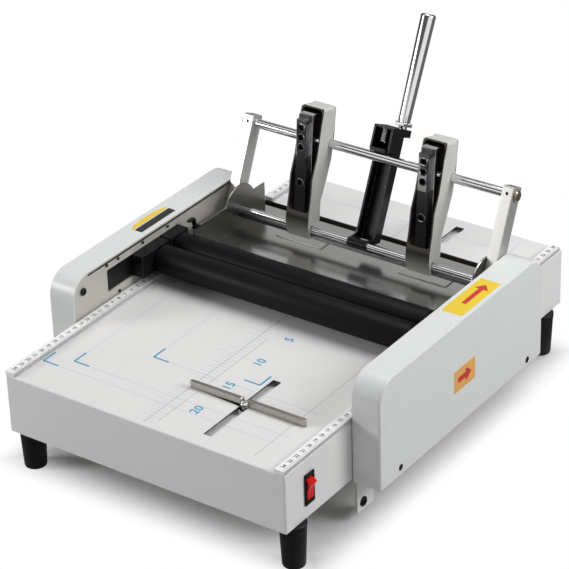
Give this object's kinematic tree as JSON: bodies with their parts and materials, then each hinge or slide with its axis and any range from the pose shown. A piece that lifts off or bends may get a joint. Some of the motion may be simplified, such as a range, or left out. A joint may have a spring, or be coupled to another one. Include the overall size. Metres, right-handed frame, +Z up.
{
  "type": "booklet maker",
  "caption": "Desktop booklet maker with two stapler heads pressed by a lever, and a fold blade that lifts paper between a pair of rubber rollers.",
  "frame": {"origin": "on the floor under the middle of the whole machine's box", "axes": "+X to the machine's right side with the switch, +Y from the front table to the rear, +Z up"},
  "size_m": [0.3894, 0.5058, 0.3376],
  "materials": {
    "table_paint": "satin warm white powder coat",
    "cover_paint": "satin light grey paint",
    "plate_paint": "satin warm grey paint",
    "head_paint": "fine textured grey powder coat",
    "stainless": "brushed stainless steel",
    "chrome": "polished chrome",
    "dark_steel": "oiled dark steel",
    "black_steel": "satin black",
    "black_rubber": "matte ground rubber",
    "black_foot": "satin moulded rubber",
    "black_plastic": "matte moulded plastic",
    "red_plastic": "glossy translucent red",
    "white_plastic": "printed white strip"
  },
  "bodies": {
    "base": {"front_table": "table_paint", "rear_table": "table_paint", "base_plate": "plate_paint", "centre_plate": "stainless", "side_plate_left": "plate_paint", "side_plate_right": "plate_paint", "side_cover_left": "cover_paint", "side_cover_right": "cover_paint", "front_ruler_left": "white_plastic", "front_ruler_right": "white_plastic", "rear_ruler_left": "white_plastic", "rear_ruler_right": "white_plastic", "front_foot_left": "black_foot", "front_foot_right": "black_foot", "rear_foot_left": "black_foot", "rear_foot_right": "black_foot", "rear_bearing_left": "black_plastic", "rear_bearing_right": "black_plastic", "drive_belt": "black_rubber", "drive_motor": "dark_steel", "lower_rod": "chrome", "rail_bar": "dark_steel", "anvil_left": "stainless", "anvil_right": "stainless", "switch_bezel": "black_plastic", "power_inlet": "black_plastic", "paper_sensor": "black_steel"},
    "rear_roller": {"rear_roller": "black_rubber", "rear_shaft": "dark_steel", "rear_gear_pulley": "dark_steel"},
    "roller_carriage": {"front_bearing_left": "black_plastic", "front_bearing_right": "black_plastic"},
    "front_roller": {"front_roller": "black_rubber", "front_shaft": "dark_steel", "front_gear": "dark_steel"},
    "motor_rotor": {"motor_pulley": "dark_steel"},
    "fold_blade": {"fold_blade": "stainless"},
    "press_frame": {"upper_rod": "chrome", "press_arm_left": "chrome", "press_arm_right": "chrome", "rod_screw_left": "chrome", "rod_screw_right": "chrome", "lever_channel": "black_steel", "handle": "chrome", "handle_nut": "chrome", "lever_spring": "chrome"},
    "rod_saddle": {"rod_saddle": "dark_steel"},
    "head_left": {"magazine_left": "black_steel", "magazine_rail_left": "chrome"},
    "head_right": {"magazine_right": "black_steel", "magazine_rail_right": "chrome"},
    "casing_left": {"head_casing_left": "head_paint"},
    "casing_right": {"head_casing_right": "head_paint"},
    "paper_stop": {"paper_stop": "stainless"},
    "stop_screw": {"stop_screw": "chrome"},
    "switch_rocker": {"switch_rocker": "red_plastic"}
  },
  "joints": [
    {"name": "rear_roller_spin", "type": "hinge", "parent": "base", "child": "rear_roller", "pos_m": [0, 0.01031, 0.1321], "axis": [1, 0, 0], "continuous": true},
    {"name": "carriage_slide", "type": "slide", "parent": "base", "child": "roller_carriage", "axis": [0, -1, 0], "range_m": [0, 0.002], "stiffness_N_per_m": 4000, "springref_m": -0.004},
    {"name": "front_roller_spin", "type": "hinge", "parent": "roller_carriage", "child": "front_roller", "pos_m": [0, -0.02008, 0.1321], "axis": [1, 0, 0], "continuous": true},
    {"name": "motor_spin", "type": "hinge", "parent": "base", "child": "motor_rotor", "pos_m": [0, 0.05511, 0.0806], "axis": [1, 0, 0], "continuous": true},
    {"name": "blade_lift", "type": "slide", "parent": "base", "child": "fold_blade", "axis": [0, 0, 1], "range_m": [0, 0.018]},
    {"name": "press_swing", "type": "hinge", "parent": "base", "child": "press_frame", "pos_m": [0, 0.11112, 0.1316], "axis": [1, 0, 0], "range_deg": [0, 10]},
    {"name": "saddle_slide", "type": "slide", "parent": "press_frame", "child": "rod_saddle", "axis": [0, 0.4258, 0.9048], "range_m": [0, 0.006], "stiffness_N_per_m": 800, "springref_m": -0.004, "deforming": ["lever_spring"]},
    {"name": "head_left_slide", "type": "slide", "parent": "base", "child": "head_left", "axis": [1, 0, 0], "range_m": [-0.012, 0.012]},
    {"name": "head_right_slide", "type": "slide", "parent": "base", "child": "head_right", "axis": [1, 0, 0], "range_m": [-0.012, 0.012]},
    {"name": "casing_left_swing", "type": "hinge", "parent": "head_left", "child": "casing_left", "pos_m": [0, 0.11112, 0.1316], "axis": [1, 0, 0], "range_deg": [0, 10]},
    {"name": "casing_right_swing", "type": "hinge", "parent": "head_right", "child": "casing_right", "pos_m": [0, 0.11112, 0.1316], "axis": [1, 0, 0], "range_deg": [0, 10]},
    {"name": "stop_slide", "type": "slide", "parent": "base", "child": "paper_stop", "axis": [0, 1, 0], "range_m": [-0.055, 0.047]},
    {"name": "stop_screw_turn", "type": "hinge", "parent": "paper_stop", "child": "stop_screw", "pos_m": [0.0639, -0.17569, 0.1144], "axis": [0, 0, 1], "range_deg": [0, 180]},
    {"name": "rocker_tilt", "type": "hinge", "parent": "base", "child": "switch_rocker", "pos_m": [0.1595, -0.21629, 0.0786], "axis": [0, 1, 0], "range_deg": [-26, 0]}
  ],
  "couplings": [
    {"joint": "front_roller_spin", "follows": "rear_roller_spin", "ratio": -1},
    {"joint": "motor_spin", "follows": "rear_roller_spin", "ratio": 2},
    {"joint": "casing_left_swing", "follows": "press_swing", "ratio": 1},
    {"joint": "casing_right_swing", "follows": "press_swing", "ratio": 1}
  ]
}
